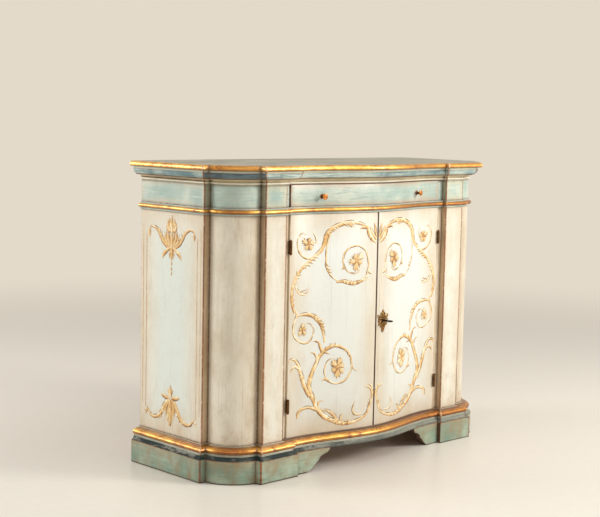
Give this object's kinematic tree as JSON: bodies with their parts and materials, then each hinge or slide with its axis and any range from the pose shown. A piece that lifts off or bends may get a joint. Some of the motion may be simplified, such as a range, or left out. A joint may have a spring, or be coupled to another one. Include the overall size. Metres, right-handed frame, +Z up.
{
  "type": "credenza",
  "caption": "Painted serpentine-front credenza with column corners, two bowed doors, one long drawer, gilt mouldings and bracket feet.",
  "frame": {"origin": "on the floor under the middle of the overall box", "axes": "+X to the right of the front, +Y from the front to the back, +Z up"},
  "size_m": [1.2712, 0.52, 0.961],
  "materials": {
    "cream_lacquer": "aged ivory lacquer with painted ochre scrolls, satin",
    "sea_green_lacquer": "aged pale sea-green lacquer, satin",
    "plinth_green_lacquer": "worn blue-green lacquer with brown edges",
    "gilt_moulding": "rubbed gilding over brown ground",
    "slate_blue_lacquer": "streaked blue-grey lacquer, satin",
    "raw_wood": "plain unpainted softwood",
    "old_brass": "darkened brass",
    "dark_iron": "dark burnished iron"
  },
  "bodies": {
    "case": {"left_plinth_side": "plinth_green_lacquer", "left_plinth_corner": "plinth_green_lacquer", "left_plinth_block": "plinth_green_lacquer", "left_bracket_foot": "plinth_green_lacquer", "left_side_panel": "cream_lacquer", "left_corner_column": "cream_lacquer", "left_stile": "cream_lacquer", "left_drawer_guide": "raw_wood", "left_drawer_kicker": "raw_wood", "left_lower_hinge_frame_leaf": "old_brass", "left_lower_hinge_pin": "old_brass", "left_upper_hinge_frame_leaf": "old_brass", "left_upper_hinge_pin": "old_brass", "right_plinth_side": "plinth_green_lacquer", "right_plinth_corner": "plinth_green_lacquer", "right_plinth_block": "plinth_green_lacquer", "right_bracket_foot": "plinth_green_lacquer", "right_side_panel": "cream_lacquer", "right_corner_column": "cream_lacquer", "right_stile": "cream_lacquer", "right_drawer_guide": "raw_wood", "right_drawer_kicker": "raw_wood", "right_lower_hinge_frame_leaf": "old_brass", "right_lower_hinge_pin": "old_brass", "right_upper_hinge_frame_leaf": "old_brass", "right_upper_hinge_pin": "old_brass", "base_moulding": "gilt_moulding", "waist_moulding": "gilt_moulding", "cornice": "slate_blue_lacquer", "top_board": "slate_blue_lacquer", "base_back_rail": "raw_wood", "top_back_rail": "raw_wood", "back_panel": "raw_wood", "bottom_board": "raw_wood", "shelf": "raw_wood", "waist_rail": "raw_wood", "dust_board": "raw_wood"},
    "left_door": {"left_door": "cream_lacquer", "left_lower_hinge_door_leaf": "old_brass", "left_upper_hinge_door_leaf": "old_brass", "lock_staple": "old_brass", "upper_bolt_guide": "old_brass", "lower_bolt_guide": "old_brass"},
    "right_door": {"right_door": "cream_lacquer", "right_lower_hinge_door_leaf": "old_brass", "right_upper_hinge_door_leaf": "old_brass", "lock_case": "old_brass", "escutcheon": "old_brass"},
    "drawer": {"drawer_front": "sea_green_lacquer", "drawer_left_side": "raw_wood", "drawer_right_side": "raw_wood", "drawer_bottom": "raw_wood", "drawer_back": "raw_wood", "left_knob": "old_brass", "right_knob": "old_brass"},
    "key": {"key": "dark_iron"},
    "lock_bolt": {"lock_bolt": "old_brass"},
    "upper_slide_bolt": {"upper_slide_bolt": "dark_iron"},
    "lower_slide_bolt": {"lower_slide_bolt": "dark_iron"}
  },
  "joints": [
    {"name": "left_door_hinge", "type": "hinge", "parent": "case", "child": "left_door", "pos_m": [-0.3445, -0.1715, 0.455], "axis": [0, 0, -1], "range_deg": [0, 110]},
    {"name": "right_door_hinge", "type": "hinge", "parent": "case", "child": "right_door", "pos_m": [0.3445, -0.1715, 0.455], "axis": [0, 0, 1], "range_deg": [0, 110]},
    {"name": "drawer_slide", "type": "slide", "parent": "case", "child": "drawer", "axis": [0, -1, 0], "range_m": [0, 0.28]},
    {"name": "key_turn", "type": "hinge", "parent": "right_door", "child": "key", "pos_m": [0.034, -0.185, 0.455], "axis": [0, 1, 0], "range_deg": [0, 90]},
    {"name": "lock_bolt_slide", "type": "slide", "parent": "right_door", "child": "lock_bolt", "axis": [-1, 0, 0], "range_m": [0, 0.0142]},
    {"name": "upper_bolt_slide", "type": "slide", "parent": "left_door", "child": "upper_slide_bolt", "axis": [0, 0, 1], "range_m": [0, 0.0115]},
    {"name": "lower_bolt_slide", "type": "slide", "parent": "left_door", "child": "lower_slide_bolt", "axis": [0, 0, -1], "range_m": [0, 0.0115]}
  ],
  "couplings": [
    {"joint": "lock_bolt_slide", "follows": "key_turn", "m_per_rad": 0.00891}
  ]
}
